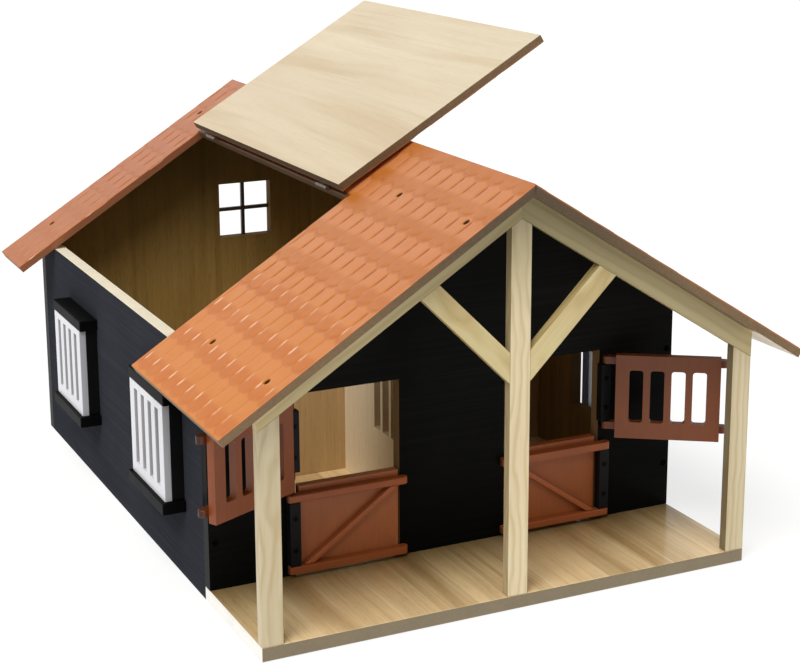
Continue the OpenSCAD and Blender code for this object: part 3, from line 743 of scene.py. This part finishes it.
    # sides and underside
    rim = [e for e in bm.edges if len(e.link_faces) == 1]
    nxt = {}
    for e in rim:
        f = e.link_faces[0]
        for lp in f.loops:
            if lp.edge == e:
                nxt[lp.vert] = lp.link_loop_next.vert
    start = next(iter(nxt))
    loop, v = [start], nxt[start]
    while v != start:
        loop.append(v)
        v = nxt[v]
    assert len(loop) == len(rim), (name, len(loop), len(rim))
    below = []
    for v in loop:
        s, y, h = v[lay] / MM
        sb = max(s, THICK * math.tan(RA)) if s_from < 1.0 else s
        below.append(vert(sb, y, -THICK))
    for q in range(len(loop)):
        p = (q + 1) % len(loop)
        f = bm.faces.new((loop[p], loop[q], below[q], below[p]))
        f.material_index = 1
    # underside: one face over the whole outline; the points on its straight runs are found (corners) but kept
    corners = []
    for q in range(len(below)):
        a, b, c = (below[(q + d) % len(below)][lay] for d in (-1, 0, 1))
        if (b - a).cross(c - b).length > 1e-12:
            corners.append(q)
    f = bm.faces.new(list(reversed(below)))
    f.material_index = 2
    for e in rim:
        e.smooth = False
    bmesh.ops.recalc_face_normals(bm, faces=bm.faces[:])
    bmesh.ops.triangulate(bm, faces=[f])
    me = bpy.data.meshes.new(name)
    bm.to_mesh(me)
    bm.free()
    ob = bpy.data.objects.new(name, me)
    bpy.context.scene.collection.objects.link(ob)
    for m in (TILE, EDGE, LINING):
        me.materials.append(m)
    return ob


# ---- build --------------------------------------------------------------------
TILE, EDGE, LINING = tile_mat(), roof_edge_mat(), roof_lining_mat()
SCREWS = [(s, y) for s in (42.8, 194.0) for y in (3.5, 95.0, 477.0)]

left = roof_piece("roof_left_tiles", -1, 0.0, Y0, Y1, bay=BAY, screws=SCREWS)
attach(left, "root")
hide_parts("roof_left_board")
right = roof_piece("roof_right_tiles", 1, 0.0, Y0, Y1, screws=SCREWS)
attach(right, "root")
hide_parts("roof_right_board")
flap = roof_piece("roof_flap_tiles", -1, 62.4, 146.5, 436.5, opened=True)
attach(flap, "roof_flap")
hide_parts("roof_flap")


def give(name, mat):
    o = nodes[name]
    o.data.materials.clear()
    o.data.materials.append(mat)


def soften(name, width, segments=2):
    o = nodes[name]
    w = o.modifiers.new("weld", "WELD")
    w.merge_threshold = 1e-6
    d = o.modifiers.new("flat", "DECIMATE")
    d.decimate_type = "DISSOLVE"
    d.angle_limit = math.radians(0.5)
    b = o.modifiers.new("arris", "BEVEL")
    b.width = width * MM
    b.segments = segments
    b.limit_method = "ANGLE"
    b.angle_limit = math.radians(30)
    b.use_clamp_overlap = True
    n = o.modifiers.new("shade", "WEIGHTED_NORMAL")
    n.weight = 100


# walls: (lowest, highest) of the zone of openings, as (along, up) in metres
def zone(a0, a1, z0, z1):
    return ((a0 * MM, z0 * MM), (a1 * MM, z1 * MM))


# the side walls' blue-black paint is lightened to stand in for a painted reflection; their own reflection is off (spec
# 0 in wall)
FRONT_PAINT, SIDE_PAINT = rgb(20, 20, 20), rgb(55, 56, 62)
give("front_wall", wall("front_wall_board", (0, -1, 0), FRONT_PAINT, X, zone(-150, 150, 8, 133), top_pale=False, grain_seed=1.0))
# the rear wall's inside print is lightened low down and darkened high up (lift) as painted light and shade
give("rear_wall", wall("rear_wall_board", (0, 1, 0), FRONT_PAINT, X, zone(-60, 60, 130, 205), top_pale=False, grain_seed=4.0, inner=(rgb(136, 110, 62), rgb(75, 58, 26)), lift=(0.1, 0.225, 1.5, 0.55)))
give("left_wall", wall("left_wall_board", (-1, 0, 0), SIDE_PAINT, Y, zone(-135, 225, 20, 150), grain_seed=7.0))
give("right_wall", wall("right_wall_board", (1, 0, 0), SIDE_PAINT, Y, zone(-135, 225, 20, 150), grain_seed=9.0))
for n in ("front_wall", "rear_wall", "left_wall", "right_wall"):
    soften(n, 0.5)
# the gable cross is dark brown: painted shade high in the gable over the wood's own brown
give("gable_window_cross", painted("cross_shaded_brown", rgb(58, 44, 30), 0.4, Z))
soften("gable_window_cross", 0.3)

give("floor_board", floor_mat())
soften("floor_board", 0.5)
give("cross_wall", inner_wall("cross_wall_board", X, Y, rgb(208, 174, 122), rgb(150, 116, 70), 3.0))
give("centre_partition", inner_wall("partition_board", Y, X, rgb(255, 242, 212), rgb(240, 216, 172), 6.0))
soften("cross_wall", 0.4)
soften("centre_partition", 0.5)

s45 = math.sqrt(0.5)
TIMBER = {
    "left_post": (Z, X, 1.0, (-0.13, -0.21)),
    "right_post": (Z, X, 2.0, (0.215, -0.255)),
    "king_post": (Z, X, 3.0, (-0.035, -0.262)),
    "left_rafter": ((CA, 0, SA), (-SA, 0, CA), 4.0, (0.19, -0.215)),
    "right_rafter": ((CA, 0, -SA), (SA, 0, CA), 5.0, (0.255, -0.26)),
    "left_strut": ((s45, 0, -s45), (s45, 0, s45), 6.0, (0.11, -0.222)),
    "right_strut": ((s45, 0, s45), (-s45, 0, s45), 7.0, (0.10, -0.262)),
}
for n, (along, across, seed, centre) in TIMBER.items():
    # per-piece tones: the posts differ by the wood's own colour; the rafters are darkened as painted shade under the
    # roof overhang
    tone = 0.76 if n == "right_rafter" else 0.9 if n == "left_rafter" else 1.14 if n == "king_post" else 0.92 if n == "left_post" else 0.96
    a, b = (tuple(c * tone for c in rgb(*v)[:3]) for v in ((216, 202, 167), (182, 155, 106)))
    if "rafter" in n or "strut" in n:
        a, b = ((v[0], v[1] * 0.97, v[2] * 0.76) for v in (a, b))
    # painted shade on the narrow sides, strongest on the right post and king post in the porch's shade
    side = {"right_post": 0.34, "king_post": 0.6, "left_post": 1.0, "left_rafter": 1.0}.get(n, 0.8)
    more = {"warp": 0.009, "depth_of": 0.6} if "rafter" in n else {"depth_of": 0.95 if "strut" in n else 0.75}
    # painted shade towards the ridge on the rafters and king post
    give(n, pine("pine_" + n, along, across, seed, centre, light=(*a, 1.0), dark=(*b, 1.0), side=side,
                 ridge_shade=0.6 if "rafter" in n or n == "king_post" else 1.0, **more))
    soften(n, 0.3 if "rafter" in n else 0.5, 3)

WHITE = rgb(226, 226, 231)
for side in ("left", "right"):
    give(f"{side}_window_strips", painted(f"black_{side}_strips", rgb(9, 9, 10), 0.5, Z, coat=0.0, spec=0.1))
    soften(f"{side}_window_strips", 0.4)
for side in ("left", "right"):
    for end in ("front", "rear"):
        # the grille's faces along Y take a grey edge colour, which is painted shade
        give(f"{side}_{end}_grille", painted(f"white_{side}_{end}", WHITE, 0.34, Z, coat=0.2, lift=1.02, edge=rgb(180, 180, 184)))
        soften(f"{side}_{end}_grille", 0.5)
        for part in ("lintel", "sill"):
            give(f"{side}_{end}_{part}", painted(f"black_{side}_{end}_{part}", rgb(5, 5, 6), 0.5, Y, coat=0.0, spec=0.05))
            soften(f"{side}_{end}_{part}", 0.8, 3)
    for half, seed in (("lower", 1.0), ("upper", 2.0)):
        seed += 3.0 if side == "right" else 0.0
        tone = {"left_lower": rgb(160, 91, 50), "left_upper": rgb(134, 68, 29), "right_lower": rgb(148, 79, 37), "right_upper": rgb(122, 66, 34)}
        give(f"{side}_{half}_door", door_mat(f"stain_{side}_{half}_panel", seed, Z, tone[f"{side}_{half}"]))
        soften(f"{side}_{half}_door", 0.6, 3)
        turn = 0.0 if half == "lower" else math.radians(-154.0 if side == "left" else 146.0)
        rail = rgb(148, 77, 36) if half == "lower" else rgb(92, 46, 23) if side == "left" else rgb(112, 57, 29)
        for part in ("top_rail", "bottom_rail"):
            give(f"{side}_{half}_{part}", door_mat(f"stain_{side}_{half}_{part}", seed + 0.5, X, rail, (math.cos(turn), math.sin(turn), 0.0)))
            soften(f"{side}_{half}_{part}", 1.3, 4)
        give(f"{side}_{half}_batten", painted(f"black_{side}_{half}_batten", rgb(17, 18, 20), 0.42, Z, coat=0.0, spec=0.12))
        soften(f"{side}_{half}_batten", 0.6, 3)
    give(f"{side}_lower_brace", door_mat(f"stain_{side}_brace", 8.0, X, rgb(156, 83, 42)))
    soften(f"{side}_lower_brace", 0.8, 3)

STEEL = steel_mat("zinc")
for n in ("flap_hinge_fixed_leaves", "flap_hinge_moving_leaves", "flap_hinge_pins", "flap_hinge_fixed_screws",
          "flap_hinge_moving_screws", "door_hinge_pins"):
    give(n, STEEL)
give("roof_screws", screw_mat("burnished_roof_screws"))
give("batten_screws", painted("batten_screws_painted", rgb(6, 6, 6), 0.5, Z, coat=0.0, spec=0.1))
give("wall_screws", painted("wall_screws_painted", rgb(7, 7, 7), 0.6, Z, coat=0.0, spec=0.03))

# ---- stage ---------------------------------------------------------------------
me = bpy.data.meshes.new("ground")
q = 6.0
me.from_pydata([(-q, -q, -0.0004), (q, -q, -0.0004), (q, q, -0.0004), (-q, q, -0.0004)], [], [(0, 1, 2, 3)])
ground = bpy.data.objects.new("ground", me)
bpy.context.scene.collection.objects.link(ground)
g = Graph("ground_white")
g.b.inputs["Emission Color"].default_value = (1.0, 1.0, 1.0, 1.0)
g.b.inputs["Emission Strength"].default_value = 0.7
speck = g.noise(g.pos, 3.0, 2.0, 0.5)
me.materials.append(g.done(g.mix(speck, rgb(158, 158, 158), rgb(162, 162, 162)), 0.9, spec=0.0))

world = bpy.data.worlds.new("studio")
bpy.context.scene.world = world
world.use_nodes = True
world.node_tree.nodes["Background"].inputs[0].default_value = (1.0, 1.0, 1.0, 1.0)
world.node_tree.nodes["Background"].inputs[1].default_value = 0.34


def lamp(name, place, target, size, power, colour=(1, 1, 1)):
    d = bpy.data.lights.new(name, "AREA")
    d.shape = "RECTANGLE"
    d.size, d.size_y = size
    d.energy = power
    d.color = colour
    o = bpy.data.objects.new(name, d)
    bpy.context.scene.collection.objects.link(o)
    o.location = place
    o.rotation_mode = "QUATERNION"
    o.rotation_quaternion = (Vector(target) - Vector(place)).to_track_quat("-Z", "Y")
    return o


def sun(name, azimuth, elevation, strength, spread_deg, colour=(1, 1, 1)):
    """A soft far light. Azimuth 0 comes from the front, positive from the right."""
    d = bpy.data.lights.new(name, "SUN")
    d.energy = strength
    d.angle = math.radians(spread_deg)
    d.color = colour
    o = bpy.data.objects.new(name, d)
    bpy.context.scene.collection.objects.link(o)
    a, e = math.radians(azimuth), math.radians(elevation)
    back = Vector((math.sin(a) * math.cos(e), -math.cos(a) * math.cos(e), math.sin(e)))
    o.rotation_mode = "QUATERNION"
    o.rotation_quaternion = (-back).to_track_quat("-Z", "Y")
    return o


sun("key", -46, 55, 2.5, 36, (1.0, 0.988, 0.965))
lamp("back", (0.3, 3.2, 1.7), (0, 0, 0.3), (4.0, 1.6), 17.0)

# ---- camera --------------------------------------------------------------------
F_PX, CX, CY = 1775.0, 400.0, 260.0
YAW, PITCH, ROLL = -0.4448, 0.2360, -0.0040
POS = Vector((-0.5117, -1.1440, 0.4751))
fwd = Vector((-math.sin(YAW) * math.cos(PITCH), math.cos(YAW) * math.cos(PITCH), -math.sin(PITCH)))
rgt = Vector((math.cos(YAW), math.sin(YAW), 0.0))
up = rgt.cross(fwd)
rgt, up = rgt * math.cos(ROLL) + up * math.sin(ROLL), up * math.cos(ROLL) - rgt * math.sin(ROLL)
cam_data = bpy.data.cameras.new("camera")
cam_data.sensor_fit = "HORIZONTAL"
cam_data.sensor_width = 36.0
cam_data.lens = F_PX / 800.0 * 36.0
cam_data.shift_x = (400.0 - CX) / 800.0
cam_data.shift_y = (CY - 334.5) / 800.0
cam_data.clip_start, cam_data.clip_end = 0.05, 50.0
cam = bpy.data.objects.new("camera", cam_data)
bpy.context.scene.collection.objects.link(cam)
cam.matrix_world = Matrix.Translation(POS) @ Matrix((
    (rgt.x, up.x, -fwd.x), (rgt.y, up.y, -fwd.y), (rgt.z, up.z, -fwd.z))).to_4x4()
bpy.context.scene.camera = cam

view = bpy.context.scene.view_settings
view.view_transform = "Standard"
view.look = "None"
view.exposure = 0.0
view.gamma = 1.0
